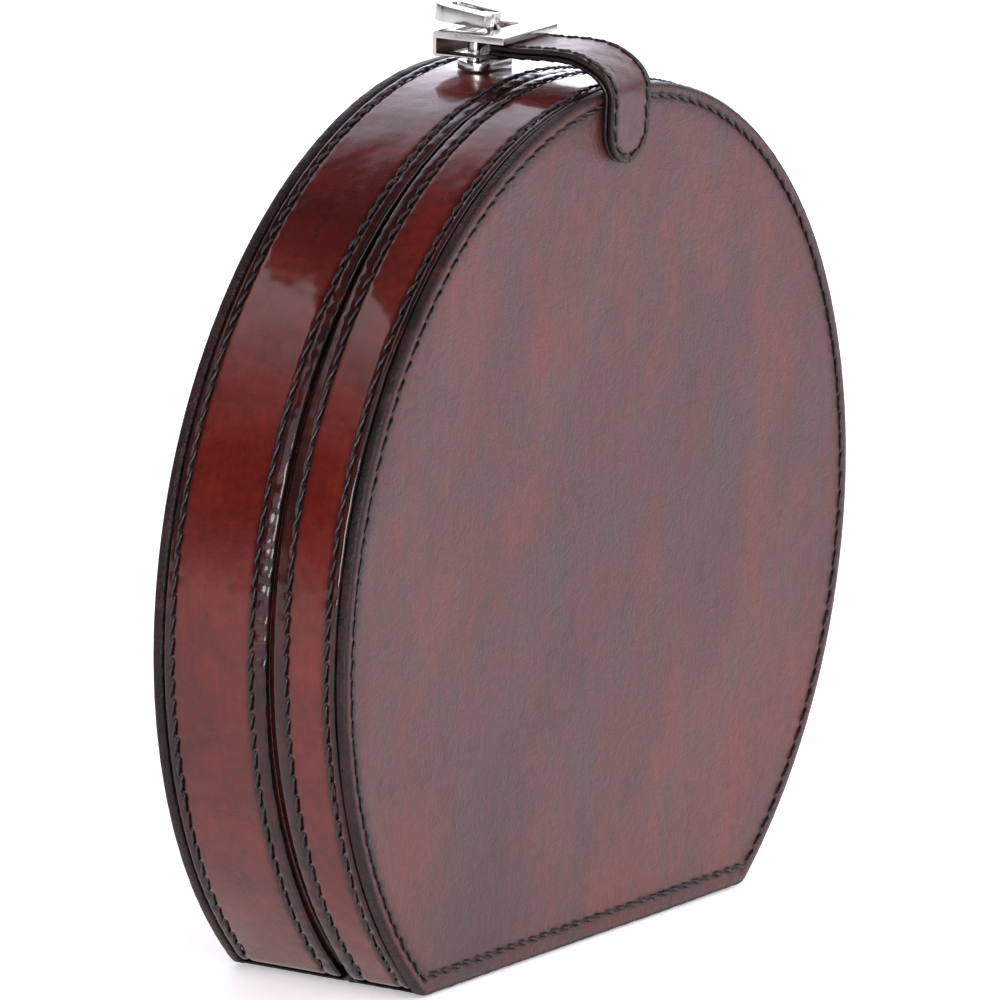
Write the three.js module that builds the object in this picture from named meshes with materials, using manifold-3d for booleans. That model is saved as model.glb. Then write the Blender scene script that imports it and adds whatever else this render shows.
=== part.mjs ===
// A leather hat box: two round shells with a flat base, hinged on the leather of the base and closed
// at the top by a strap whose metal clasp drops over a post and is locked by a folding loop.
// Millimetres, +Z up, front at -Y. The origin is the middle of the footprint, at floor level.
import * as THREE from 'three';
import { mergeVertices } from 'three/addons/utils/BufferGeometryUtils.js';
import Module from 'manifold-3d';

const wasm = await Module();
wasm.setup();

// ---- driving dimensions -------------------------------------------------------------------------
const RADIUS = 130; // outer radius of the shells
const CENTRE_Z = 100; // height of that circle's centre above the floor
const DEPTH = 58.8; // front face to rear face
const FRONT_DEPTH = 24.6; // front face to the rear shell's mouth
const GAP = 0.3; // space kept between touching pieces
const LEATHER = 3; // thickness of panels and bands
const BOARD = 1.6;
const LINING = 0.8;
const SOLE = 1.4; // leather under the base, which is also the hinge
const MOUTH_GAP_TOP = 0.6; // space between the two mouths
const MOUTH_GAP_BASE = 3.4;
const PANEL_BEVEL = 1;
const ARC_STEPS = 48; // half the number of flats round a shell

const STRAP_OUTER = 1.6; // the strap's two layers
const STRAP_BACKING = 1.2;
const STRAP_TIP_WIDTH = 20;
const STRAP_CLASP_WIDTH = 24;
const STRAP_TIP_DROP = 19.8; // tip below the top of the front face
const STRAP_BEND = { reach: 16, rise: 10.5 }; // half axes of the bend over the front edge
const STRAP_LEVEL = 8.8; // top of the strap above the top of the shells
const STRAP_END_BEFORE_POST = 8;

const CLASP_WIDTH = 28;
const CLASP_LENGTH = 21.6;
const CLASP_BEHIND_POST = 8;
const CLASP_TILT = 2; // degrees, its front edge up
const CLASP_UNDER = 3.9; // underside above the top of the shells
const CLASP_LOWER_SHEET = 0.8;
const CLASP_UPPER_SHEET = 1.9;
const CLASP_HOLLOW = 3.9;
const CLASP_WALL = 1.2;
const CLASP_ROUND = 1; // outside of its fold
const SLOT = { width: 19, ahead: 4.9, behind: 4.3 };

const POST_FROM_FRONT = 41.8;
const POST = { width: 15, length: 4, top: 9.6, stem: 1.7 };
const POST_RIVET = { radius: 3, thick: 1 }; // the stem's end inside the shell
const POST_HEAD = { width: 3.6, ahead: 3.1, behind: 1.2, top: 14.7, round: 0.5, foot: 8.5, chin: 10 };
const BASE_PLATE = { width: 19, length: 10, thick: 1.9 };
const BACK_PLATE = { width: 16, length: 9, thick: 1.2 };
const LOOP = { width: 12.6, ahead: 2.9, behind: 15, bar: 4.2, frontThick: 3.4, rearThick: 4.7, tilt: 2.8 };
const PIN = { ahead: 1.3, height: 13.1, radius: 0.6, hole: 0.8, inLeg: 2.4 };

// ---- places worked out from them ----------------------------------------------------------------
const STRAP_THICK = STRAP_OUTER + GAP + STRAP_BACKING;
const STRAP_PROUD = STRAP_THICK + GAP; // how far the sewn tip stands in front of the face
const FRONT_Y = -(DEPTH - STRAP_PROUD) / 2;
const REAR_Y = FRONT_Y + DEPTH;
const SEAM_Y = FRONT_Y + FRONT_DEPTH;
const HINGE_Y = SEAM_Y - MOUTH_GAP_BASE / 2;
const TOP_Z = CENTRE_Z + RADIUS;
const POST_Y = FRONT_Y + POST_FROM_FRONT;
const BAND_FLOOR = SOLE + GAP;
const BOARD_INSET = LEATHER + GAP;
const COLLAR_INSET = LEATHER + GAP + LINING + 0.5;
const COLLAR_THICK = 1.6;
const CUT_REACH = 10; // how far a hole's cutter runs past what it cuts
const COLLAR_AHEAD = 6; // how far the collar stands into the front shell
const COLLAR_BEHIND = 12;
const CLASP_Z = TOP_Z + CLASP_UNDER;
const CLASP_TOP_Z = CLASP_Z + CLASP_LOWER_SHEET + CLASP_HOLLOW + CLASP_UPPER_SHEET;
const BEND_Z = TOP_Z + STRAP_LEVEL - STRAP_BEND.rise;
const BEND_Y = FRONT_Y - STRAP_PROUD + STRAP_BEND.reach;
const PIN_Y = POST_Y - PIN.ahead;
const PIN_Z = TOP_Z + PIN.height;
const CLASP_FRONT_Y = POST_Y + CLASP_BEHIND_POST - CLASP_LENGTH;

// ---- materials ----------------------------------------------------------------------------------
const BURGUNDY = { color: 0x5a1a16, roughness: 0.25, metalness: 0 };
const FACE_LEATHER = { color: 0x5f3230, roughness: 0.4, metalness: 0 };
const INNER_LEATHER = { color: 0x4a1210, roughness: 0.5, metalness: 0 };
const CLOTH = { color: 0x6a4a3a, roughness: 0.9, metalness: 0 };
const CARD = { color: 0x8a7a60, roughness: 0.9, metalness: 0 };
const NICKEL = { color: 0xc8c8c8, roughness: 0.2, metalness: 1 };

const hatBox = new THREE.Group();

function add(name, geometry, look) {
  const mesh = new THREE.Mesh(geometry, new THREE.MeshStandardMaterial(look));
  mesh.name = name;
  hatBox.add(mesh);
}

// ---- shape helpers ------------------------------------------------------------------------------

// The shells' outline in the XZ plane: a circle cut off flat at the floor height.
function roundOutline(path, inset, floor) {
  const radius = RADIUS - inset;
  const dip = Math.asin((CENTRE_Z - floor) / radius);
  path.absarc(0, CENTRE_Z, radius, -dip, Math.PI + dip, false);
  path.closePath();
  return path;
}

// A long rounded outline in the XY plane, w wide along X and l long along Y.
function stadium(path, w, l, y = 0) {
  if (w > l) {
    const reach = (w - l) / 2;
    path.absarc(reach, y, l / 2, -Math.PI / 2, Math.PI / 2, false);
    path.absarc(-reach, y, l / 2, Math.PI / 2, (3 * Math.PI) / 2, false);
  } else {
    const reach = (l - w) / 2;
    path.absarc(0, y + reach, w / 2, 0, Math.PI, false);
    path.absarc(0, y - reach, w / 2, Math.PI, 2 * Math.PI, false);
  }
  path.closePath();
  return path;
}

// Extrudes a shape drawn in XZ between two depths.
function alongY(shape, y0, y1, bevel = 0) {
  const geometry = new THREE.ExtrudeGeometry(shape, {
    depth: y1 - y0 - 2 * bevel,
    curveSegments: ARC_STEPS,
    bevelEnabled: bevel > 0,
    bevelThickness: bevel,
    bevelSize: bevel,
    bevelOffset: -bevel,
    bevelSegments: 2,
  });
  geometry.rotateX(Math.PI / 2);
  geometry.translate(0, y1 - bevel, 0);
  return geometry;
}

// Extrudes a shape drawn in YZ to both sides of the middle plane.
function alongX(shape, width, curveSegments = 10) {
  const geometry = new THREE.ExtrudeGeometry(shape, { depth: width, curveSegments, bevelEnabled: false });
  geometry.translate(0, 0, -width / 2);
  geometry.applyMatrix4(new THREE.Matrix4().makeBasis(
    new THREE.Vector3(0, 1, 0),
    new THREE.Vector3(0, 0, 1),
    new THREE.Vector3(1, 0, 0),
  ));
  return geometry;
}

// Extrudes a shape drawn in XY between two heights.
function alongZ(shape, z0, z1, curveSegments = 12) {
  const geometry = new THREE.ExtrudeGeometry(shape, { depth: z1 - z0, curveSegments, bevelEnabled: false });
  geometry.translate(0, 0, z0);
  return geometry;
}

// Turns a profile of [radius, height] points about an upright axis at the post.
function turned(profile, segments = 24) {
  const points = profile.map(([radius, height]) => new THREE.Vector2(radius, height));
  const geometry = new THREE.LatheGeometry(points, segments);
  geometry.rotateX(Math.PI / 2);
  geometry.translate(0, POST_Y, 0);
  return geometry;
}

function toSolid(geometry) {
  const bare = geometry.clone();
  bare.deleteAttribute('normal');
  bare.deleteAttribute('uv');
  const merged = mergeVertices(bare, 1e-4);
  return new wasm.Manifold(new wasm.Mesh({
    numProp: 3,
    vertProperties: new Float32Array(merged.attributes.position.array),
    triVerts: new Uint32Array(merged.index.array),
  }));
}

function fromSolid(solid) {
  const mesh = solid.getMesh();
  const geometry = new THREE.BufferGeometry();
  geometry.setAttribute('position', new THREE.BufferAttribute(mesh.vertProperties, 3));
  geometry.setIndex(new THREE.BufferAttribute(mesh.triVerts, 1));
  geometry.computeVertexNormals();
  return geometry;
}

function cut(geometry, ...tools) {
  return fromSolid(tools.reduce((left, tool) => left.subtract(toSolid(tool)), toSolid(geometry)));
}

function join(...geometries) {
  const solids = geometries.map(toSolid);
  return fromSolid(solids.reduce((left, right) => left.add(right)));
}

function postHole(radius, z0, z1) {
  return turned([[0, z0], [radius, z0], [radius, z1], [0, z1]]);
}

// ---- the two shells -----------------------------------------------------------------------------

function ring(outerInset, innerInset, outerFloor, innerFloor, y0, y1) {
  const shape = roundOutline(new THREE.Shape(), outerInset, outerFloor);
  shape.holes.push(roundOutline(new THREE.Path(), innerInset, innerFloor));
  return alongY(shape, y0, y1);
}

function disc(inset, floor, y0, y1, bevel = 0) {
  return alongY(roundOutline(new THREE.Shape(), inset, floor), y0, y1, bevel);
}

// The front shell's mouth stands off the rear shell's, more at the base than at the top.
function mouthGap(z) {
  return MOUTH_GAP_BASE + ((MOUTH_GAP_TOP - MOUTH_GAP_BASE) * z) / TOP_Z;
}

function slopeMouth(geometry, mouthY) {
  const position = geometry.attributes.position;
  for (let i = 0; i < position.count; i += 1) {
    if (Math.abs(position.getY(i) - mouthY) < 1e-3) {
      position.setY(i, mouthY - mouthGap(position.getZ(i)));
    }
  }
  return geometry;
}

function sole(y0, y1) {
  const half = (z) => Math.sqrt(RADIUS ** 2 - (CENTRE_Z - z) ** 2);
  const shape = new THREE.Shape();
  shape.moveTo(-half(0), 0);
  shape.lineTo(half(0), 0);
  shape.lineTo(half(SOLE), SOLE);
  shape.lineTo(-half(SOLE), SOLE);
  shape.closePath();
  return alongY(shape, y0, y1);
}

function band(y0, y1) {
  return ring(0, LEATHER, BAND_FLOOR, BAND_FLOOR + LEATHER, y0, y1);
}

function bandLining(y0, y1) {
  const floor = BAND_FLOOR + LEATHER + GAP;
  return ring(BOARD_INSET, BOARD_INSET + LINING, floor, floor + LINING, y0, y1);
}

function buildRearShell() {
  const panelIn = REAR_Y - LEATHER;
  const boardOut = panelIn - GAP;
  const liningOut = boardOut - BOARD - GAP;
  const liningIn = liningOut - LINING;
  const insideFloor = BAND_FLOOR + LEATHER + GAP;
  const hole = () => postHole(POST.stem + GAP, TOP_Z - CUT_REACH, TOP_Z + CUT_REACH);

  add('rear_panel', disc(0, 0, panelIn, REAR_Y, PANEL_BEVEL), BURGUNDY);
  add('rear_panel_board', disc(BOARD_INSET, insideFloor, boardOut - BOARD, boardOut), CARD);
  add('rear_panel_lining', disc(BOARD_INSET, insideFloor, liningIn, liningOut), CLOTH);
  add('rear_band', cut(band(SEAM_Y, panelIn - GAP), hole()), BURGUNDY);
  add('rear_band_lining', cut(bandLining(SEAM_Y + LINING, liningIn - GAP), hole()), CLOTH);
  add('rear_sole', sole(HINGE_Y + GAP, panelIn - GAP), INNER_LEATHER);

  const collarFloor = BAND_FLOOR + COLLAR_INSET;
  add('inner_collar', ring(
    COLLAR_INSET, COLLAR_INSET + COLLAR_THICK, collarFloor, collarFloor + COLLAR_THICK,
    SEAM_Y - COLLAR_AHEAD, SEAM_Y + COLLAR_BEHIND,
  ), INNER_LEATHER);
}

function buildFrontShell() {
  const panelIn = FRONT_Y + LEATHER;
  const boardOut = panelIn + GAP;
  const liningOut = boardOut + BOARD + GAP;
  const liningIn = liningOut + LINING;
  const insideFloor = BAND_FLOOR + LEATHER + GAP;
  const liningMouth = SEAM_Y - LINING;

  add('front_panel', disc(0, 0, FRONT_Y, panelIn, PANEL_BEVEL), FACE_LEATHER);
  add('front_panel_board', disc(BOARD_INSET, insideFloor, boardOut, boardOut + BOARD), CARD);
  add('front_panel_lining', disc(BOARD_INSET, insideFloor, liningOut, liningIn), CLOTH);
  add('front_band', slopeMouth(band(panelIn + GAP, SEAM_Y), SEAM_Y), BURGUNDY);
  add('front_band_lining', slopeMouth(bandLining(liningIn + GAP, liningMouth), liningMouth), CLOTH);
  add('front_sole', sole(panelIn + GAP, HINGE_Y - GAP), INNER_LEATHER);
}

// ---- the strap ----------------------------------------------------------------------------------

// One layer of the sewn end: straight sides down the front face and a round tip.
function strapTip(y0, y1) {
  const half = STRAP_TIP_WIDTH / 2;
  const shape = new THREE.Shape();
  shape.absarc(0, TOP_Z - STRAP_TIP_DROP + half, half, Math.PI, 2 * Math.PI, false);
  shape.lineTo(half, BEND_Z - GAP);
  shape.lineTo(-half, BEND_Z - GAP);
  shape.closePath();
  return alongY(shape, y0, y1);
}

// One layer of the free end: over the bend and back into the clasp.
function strapArch(outset, thick) {
  const { reach, rise } = STRAP_BEND;
  const inset = outset + thick;
  const end = POST_Y - STRAP_END_BEFORE_POST;
  const shape = new THREE.Shape();
  shape.absellipse(BEND_Y, BEND_Z, reach - outset, rise - outset, Math.PI / 2, Math.PI, false);
  shape.absellipse(BEND_Y, BEND_Z, reach - inset, rise - inset, Math.PI, Math.PI / 2, true);
  shape.lineTo(end, BEND_Z + rise - inset);
  shape.lineTo(end, BEND_Z + rise - outset);
  shape.closePath();

  const geometry = alongX(shape, 1);
  const position = geometry.attributes.position;
  for (let i = 0; i < position.count; i += 1) {
    const along = THREE.MathUtils.clamp((position.getY(i) - FRONT_Y) / (CLASP_FRONT_Y - FRONT_Y), 0, 1);
    const width = STRAP_TIP_WIDTH + (STRAP_CLASP_WIDTH - STRAP_TIP_WIDTH) * along;
    position.setX(i, position.getX(i) * width);
  }
  return geometry;
}

function buildStrap() {
  const outerY = FRONT_Y - STRAP_PROUD;
  const backingY = outerY + STRAP_OUTER + GAP;
  add('strap_tip_outer', strapTip(outerY, outerY + STRAP_OUTER), BURGUNDY);
  add('strap_tip_backing', strapTip(backingY, backingY + STRAP_BACKING), INNER_LEATHER);
  add('strap_outer', strapArch(0, STRAP_OUTER), BURGUNDY);
  add('strap_backing', strapArch(STRAP_OUTER + GAP, STRAP_BACKING), INNER_LEATHER);
}

// ---- the lock -----------------------------------------------------------------------------------

// A sheet folded at the rear into two leaves, with one slot through both.
function claspPlate() {
  const round = CLASP_ROUND;
  const rear = POST_Y + CLASP_BEHIND_POST;
  const wall = rear - CLASP_WALL;
  const lower = CLASP_Z + CLASP_LOWER_SHEET;
  const upper = CLASP_TOP_Z - CLASP_UPPER_SHEET;
  const shape = new THREE.Shape();
  shape.moveTo(CLASP_FRONT_Y, CLASP_Z);
  shape.absarc(rear - round, CLASP_Z + round, round, -Math.PI / 2, 0, false);
  shape.absarc(rear - round, CLASP_TOP_Z - round, round, 0, Math.PI / 2, false);
  shape.lineTo(CLASP_FRONT_Y, CLASP_TOP_Z);
  shape.lineTo(CLASP_FRONT_Y, upper);
  shape.lineTo(wall, upper);
  shape.lineTo(wall, lower);
  shape.lineTo(CLASP_FRONT_Y, lower);
  shape.closePath();
  const slot = new THREE.BoxGeometry(SLOT.width, SLOT.ahead + SLOT.behind, 4 * CUT_REACH);
  slot.translate(0, POST_Y + (SLOT.behind - SLOT.ahead) / 2, CLASP_Z);
  const plate = alongX(shape, CLASP_WIDTH, 6);
  plate.translate(0, -rear, -CLASP_Z);
  plate.rotateX(THREE.MathUtils.degToRad(-CLASP_TILT));
  plate.translate(0, rear, CLASP_Z);
  return cut(plate, slot);
}

// A cylinder along X on the loop's pin.
function crosswise(radius, width) {
  const geometry = new THREE.CylinderGeometry(radius, radius, width, 20);
  geometry.rotateZ(Math.PI / 2);
  geometry.translate(0, PIN_Y, PIN_Z);
  return geometry;
}

// The part of the post that stands between the loop's two bars and holds its pin.
function postHead() {
  const { width, ahead, behind, top, round, foot, chin } = POST_HEAD;
  const front = POST_Y - ahead;
  const rear = POST_Y + behind;
  const shape = new THREE.Shape();
  shape.moveTo(rear, TOP_Z + foot);
  shape.absarc(rear - round, TOP_Z + top - round, round, 0, Math.PI / 2, false);
  shape.absarc(front + round, TOP_Z + top - round, round, Math.PI / 2, Math.PI, false);
  shape.lineTo(front, TOP_Z + chin);
  shape.lineTo(POST_Y - POST.length / 2, TOP_Z + foot);
  shape.closePath();
  return alongX(shape, width, 8);
}

// A long rounded pillar on a round stem that is riveted over inside the shell.
function lockPost() {
  const headTop = backPlateTop() - BACK_PLATE.thick - GAP;
  const foot = TOP_Z + GAP;
  const stem = turned([
    [0, headTop - POST_RIVET.thick],
    [POST_RIVET.radius, headTop - POST_RIVET.thick],
    [POST_RIVET.radius, headTop],
    [POST.stem, headTop],
    [POST.stem, foot + GAP],
    [0, foot + GAP],
  ]);
  const pillar = alongZ(stadium(new THREE.Shape(), POST.width, POST.length), foot, TOP_Z + POST.top);
  pillar.translate(0, POST_Y, 0);
  const whole = join(stem, pillar, postHead());
  return cut(whole, crosswise(PIN.hole, 2 * LOOP.width));
}

function backPlateTop() {
  return TOP_Z - LEATHER - GAP - LINING - 2 * GAP;
}

function basePlate() {
  const { width, length, thick } = BASE_PLATE;
  const shape = stadium(new THREE.Shape(), width, length);
  shape.holes.push(stadium(new THREE.Path(), POST.width + 2 * GAP, POST.length + 2 * GAP));
  const geometry = alongZ(shape, TOP_Z + GAP, TOP_Z + GAP + thick);
  geometry.translate(0, POST_Y, 0);
  return geometry;
}

function backPlate() {
  const { width, length, thick } = BACK_PLATE;
  const top = backPlateTop();
  const geometry = alongZ(stadium(new THREE.Shape(), width, length), top - thick, top);
  geometry.translate(0, POST_Y, 0);
  return cut(geometry, postHole(POST.stem + GAP, top - CUT_REACH, top + CUT_REACH));
}

// The pin reaches part way into each of the loop's bars, so its ends don't show.
function pinLength() {
  return LOOP.width - 2 * LOOP.bar + 2 * PIN.inLeg;
}

// A U of flat bar, thicker towards its bend, pinned to both sides of the post's head and lying
// back over the clasp.
function lockLoop() {
  const outer = LOOP.width / 2;
  const inner = outer - LOOP.bar;
  const front = PIN.ahead - LOOP.ahead;
  const rear = PIN.ahead + LOOP.behind;
  const bend = rear - outer;
  const shape = new THREE.Shape();
  shape.moveTo(outer, front);
  shape.absarc(0, bend, outer, 0, Math.PI, false);
  shape.lineTo(-outer, front);
  shape.lineTo(-inner, front);
  shape.absarc(0, bend, inner, Math.PI, 0, true);
  shape.lineTo(inner, front);
  shape.closePath();

  const bar = alongZ(shape, -0.5, 0.5, 16);
  const position = bar.attributes.position;
  for (let i = 0; i < position.count; i += 1) {
    const along = (position.getY(i) - front) / (rear - front);
    const thick = THREE.MathUtils.lerp(LOOP.frontThick, LOOP.rearThick, along);
    position.setZ(i, position.getZ(i) * thick);
  }
  bar.rotateX(THREE.MathUtils.degToRad(LOOP.tilt));
  bar.translate(0, PIN_Y, PIN_Z);
  return cut(bar, crosswise(PIN.hole, pinLength() + 2 * GAP));
}

function buildLock() {
  add('clasp_plate', claspPlate(), NICKEL);
  add('lock_base_plate', basePlate(), NICKEL);
  add('lock_back_plate', backPlate(), NICKEL);
  add('lock_post', lockPost(), NICKEL);
  add('lock_loop', lockLoop(), NICKEL);
  add('loop_pin', crosswise(PIN.radius, pinLength()), NICKEL);
}

buildRearShell();
buildFrontShell();
buildStrap();
buildLock();

export default hatBox;
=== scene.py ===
import math

import bmesh
import bpy
import numpy as np
from mathutils import Matrix, Vector


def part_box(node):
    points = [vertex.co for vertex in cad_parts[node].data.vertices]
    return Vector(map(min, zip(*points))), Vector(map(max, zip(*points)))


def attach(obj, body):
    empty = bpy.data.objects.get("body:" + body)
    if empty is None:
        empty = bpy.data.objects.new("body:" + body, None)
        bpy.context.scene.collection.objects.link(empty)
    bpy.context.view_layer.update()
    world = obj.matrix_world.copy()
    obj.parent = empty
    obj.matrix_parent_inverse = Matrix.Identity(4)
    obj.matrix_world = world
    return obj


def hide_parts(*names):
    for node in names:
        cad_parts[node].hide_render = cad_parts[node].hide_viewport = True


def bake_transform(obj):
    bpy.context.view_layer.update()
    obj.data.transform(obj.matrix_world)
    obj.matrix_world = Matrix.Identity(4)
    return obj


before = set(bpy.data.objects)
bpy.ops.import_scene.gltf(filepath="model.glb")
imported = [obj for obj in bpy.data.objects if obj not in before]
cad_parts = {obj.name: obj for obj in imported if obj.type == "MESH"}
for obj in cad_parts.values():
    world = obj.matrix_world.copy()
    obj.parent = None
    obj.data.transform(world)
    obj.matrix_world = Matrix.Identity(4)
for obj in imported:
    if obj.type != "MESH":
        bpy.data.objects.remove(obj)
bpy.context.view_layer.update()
rng = np.random.default_rng(11)
MM = 0.001

# ---- sizes read from the frame ------------------------------------------------------------------
FACE_LOW, FACE_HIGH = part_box("front_panel")
BACK_LOW, BACK_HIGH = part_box("rear_panel")
FRONT_WALL_LOW, FRONT_WALL_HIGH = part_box("front_band")
REAR_WALL_LOW, REAR_WALL_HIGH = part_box("rear_band")
COLLAR_LOW, COLLAR_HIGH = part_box("inner_collar")
ARCH_LOW, ARCH_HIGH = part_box("strap_outer")
ARCH_UNDER_LOW, ARCH_UNDER_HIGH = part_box("strap_backing")
TIP_LOW, TIP_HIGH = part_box("strap_tip_outer")
TIP_UNDER_LOW, TIP_UNDER_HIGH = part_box("strap_tip_backing")
CLASP_LOW, CLASP_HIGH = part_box("clasp_plate")
POST_LOW, POST_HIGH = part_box("lock_post")
SOLE_LOW, SOLE_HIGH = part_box("rear_sole")

TOP = FACE_HIGH.z
RADIUS = FACE_HIGH.x
CENTRE_Z = TOP - RADIUS
LEATHER = FACE_HIGH.y - FACE_LOW.y
BASE_HALF = math.sqrt(RADIUS ** 2 - CENTRE_Z ** 2)
HINGE_Y = (REAR_WALL_LOW.y + min(
    v.co.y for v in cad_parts["front_band"].data.vertices if v.co.z < 0.002 and v.co.y > -0.015
)) / 2
MOUTH_GAP_TOP = REAR_WALL_LOW.y - FRONT_WALL_HIGH.y
MOUTH_GAP_BASE = 2 * (REAR_WALL_LOW.y - HINGE_Y)

# ---- sewing -------------------------------------------------------------------------------------
STITCHES = 143  # round one shell
PER_STITCH = 6  # mesh columns for each stitch
ARC_SHARE = 0.793  # share of the outline that is arc, the rest being the flat base
SEAM_IN = 3.5 * MM  # seam to the panels' round edge
SEAM_BASE = 5.3 * MM  # and to their flat edge
SEAM_MOUTH = 4.2 * MM  # seam to the mouth
SEAM_CORNER = 2.7 * MM  # seam on the wall to the panel
SEAM_DEPTH = 0.34 * MM
SEAM_WIDTH = 0.75 * MM
ROLL_IN = 1.3 * MM  # how far a creased mouth is rolled inward


# ---- mesh tools ---------------------------------------------------------------------------------

def make_object(name, points, faces, material, attributes=None):
    mesh = bpy.data.meshes.new(name)
    mesh.from_pydata([tuple(p) for p in points], [], faces)
    for key, values in (attributes or {}).items():
        layer = mesh.attributes.new(key, "FLOAT", "POINT")
        layer.data.foreach_set("value", np.asarray(values, np.float32))
    mesh.materials.append(material)
    work = bmesh.new()
    work.from_mesh(mesh)
    bmesh.ops.recalc_face_normals(work, faces=work.faces)
    work.to_mesh(mesh)
    work.free()
    mesh.polygons.foreach_set("use_smooth", [True] * len(mesh.polygons))
    obj = bpy.data.objects.new(name, mesh)
    bpy.context.scene.collection.objects.link(obj)
    return obj


def grid_faces(rows, columns, close_rows, close_columns):
    faces = []
    for i in range(rows if close_rows else rows - 1):
        a, b = i * columns, ((i + 1) % rows) * columns
        for j in range(columns if close_columns else columns - 1):
            k = (j + 1) % columns
            faces.append((a + j, a + k, b + k, b + j))
    return faces


def fan(centre, first, columns):
    return [(centre, first + j, first + (j + 1) % columns) for j in range(columns)]


def bell(distance, width):
    return np.exp(-(distance / width) ** 2)


def ease(value, low, high):
    t = np.clip((value - low) / (high - low), 0, 1)
    return t * t * (3 - 2 * t)


class Waves:
    """Smooth random unevenness over two lengths in metres, as a sum of waves of about one size."""

    def __init__(self, size, count=14):
        angle = rng.uniform(0, 2 * math.pi, count)
        pace = 2 * math.pi / (size * rng.uniform(0.7, 1.6, count))
        self.a, self.b = pace * np.cos(angle), pace * np.sin(angle)
        self.phase = rng.uniform(0, 2 * math.pi, count)
        self.scale = 1 / math.sqrt(count)

    def at(self, u, v):
        total = 0
        for a, b, p in zip(self.a, self.b, self.phase):
            total = total + np.sin(a * u + b * v + p)
        return total * self.scale


# ---- the shells' outline ------------------------------------------------------------------------
COLUMNS = STITCHES * PER_STITCH
ARC_COLUMNS = round(COLUMNS * ARC_SHARE)
BASE_COLUMNS = COLUMNS - ARC_COLUMNS


def rounded(points):
    return sum(np.roll(points, k, 0) for k in range(-2, 3)) / 5


def outline(inset, floor):
    """Points (x, z) round a shell: over the arc from right to left, then back along the base."""
    radius = RADIUS - inset
    dip = math.asin((CENTRE_Z - floor) / radius)
    angle = np.linspace(-dip, math.pi + dip, ARC_COLUMNS, endpoint=False)
    arc = np.stack([radius * np.cos(angle), CENTRE_Z + radius * np.sin(angle)], 1)
    half = radius * math.cos(dip)
    x = np.linspace(-half, half, BASE_COLUMNS, endpoint=False)
    base = np.stack([x, np.full(BASE_COLUMNS, floor)], 1)
    return rounded(np.concatenate([arc, base]))


def outward(points):
    ahead = np.roll(points, -1, 0) - np.roll(points, 1, 0)
    ahead /= np.linalg.norm(ahead, axis=1)[:, None]
    return np.stack([ahead[:, 1], -ahead[:, 0]], 1)


RIM = outline(0, 0)
ALONG = np.concatenate([[0], np.cumsum(np.linalg.norm(np.diff(RIM, axis=0), axis=1))])
LENGTH = ALONG[-1] + np.linalg.norm(RIM[0] - RIM[-1])
PITCH = LENGTH / STITCHES
HOLES = 0.5 + 0.5 * np.cos(2 * math.pi * ALONG / PITCH)  # 1 where the thread goes through
IN_ARC = np.arange(COLUMNS) < ARC_COLUMNS
SEAM_INSET = np.where(IN_ARC, SEAM_IN, SEAM_BASE)
crinkle = Waves(5 * MM, 18)
ripple = Waves(16 * MM)
sag = Waves(60 * MM)


def seam_dip(distance, sewn=1.0):
    """How far the leather is drawn in near a row of stitches."""
    trough = SEAM_DEPTH * bell(distance, SEAM_WIDTH)
    pucker = 0.5 * SEAM_DEPTH * HOLES * bell(distance, 1.7 * SEAM_WIDTH)
    return (trough + pucker) * sewn


def swept(rows, floor):
    """Points of rows swept round the shell. A row is (inset, y, out, lift, ink, gleam): where it
    lies, which share of its lift goes outward and which along y, and what its leather looks like."""
    points, ink, gleam = [], [], []
    for inset, y, out, lift, row_ink, row_gleam in rows:
        flat = outline(inset, floor + inset)
        moved = flat + outward(flat) * (out[0] * lift * np.ones(COLUMNS))[:, None]
        depth = (y + out[1] * lift) * np.ones(COLUMNS)
        points.append(np.stack([moved[:, 0], depth, moved[:, 1]], 1))
        ink.append(row_ink * np.ones(COLUMNS))
        gleam.append(row_gleam * np.ones(COLUMNS))
    return points, ink, gleam


def ring_mesh(name, rows, floor, material):
    """A closed ring of rows swept round the shell."""
    points, ink, gleam = swept(rows, floor)
    faces = grid_faces(len(rows), COLUMNS, True, True)
    looks = {"ink": np.concatenate(ink), "gleam": np.concatenate(gleam)}
    return make_object(name, np.concatenate(points), faces, material, looks)


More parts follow.
